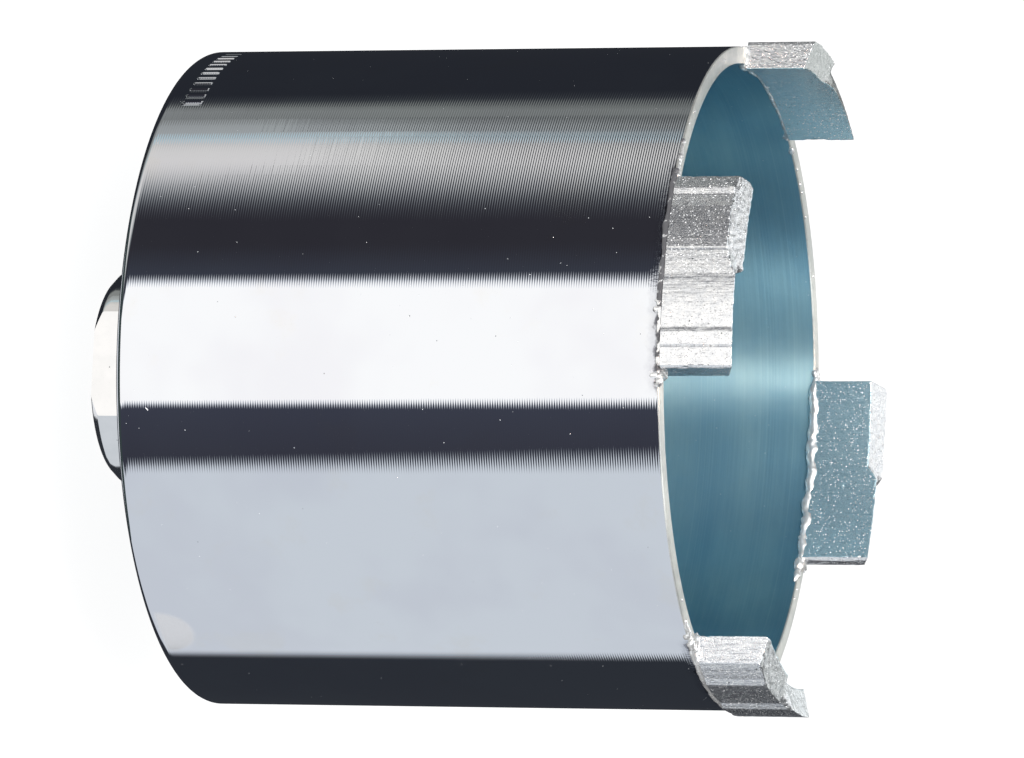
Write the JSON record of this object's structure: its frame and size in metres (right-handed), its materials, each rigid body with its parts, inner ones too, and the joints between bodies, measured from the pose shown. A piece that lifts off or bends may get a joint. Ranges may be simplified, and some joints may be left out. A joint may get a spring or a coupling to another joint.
{
  "type": "diamond core bit",
  "caption": "Short dry diamond core bit for socket holes: plated steel cup with a female threaded hub, spanner flats and sintered cutting segments brazed on its rim.",
  "frame": {"origin": "centre of the hub's flat back face, at the mouth of the spindle thread", "axes": "+Z along the cutting axis, from the spindle towards the crown; -Y passes through the start of the first segment"},
  "size_m": [0.082, 0.082, 0.0882],
  "materials": {
    "plated_cup": "bright zinc plating over fine turning lines",
    "plated_hub": "bright zinc plating, smooth",
    "weld_steel": "plated weld bead",
    "sintered_segment": "sintered metal with grit and pits",
    "braze": "lumpy silver braze"
  },
  "bodies": {
    "root": {"cup_body": "plated_cup", "threaded_hub": "plated_hub", "hub_weld": "weld_steel", "segment_1": "sintered_segment", "braze_1": "braze", "segment_2": "sintered_segment", "braze_2": "braze", "segment_3": "sintered_segment", "braze_3": "braze", "segment_4": "sintered_segment", "braze_4": "braze"}
  },
  "joints": []
}
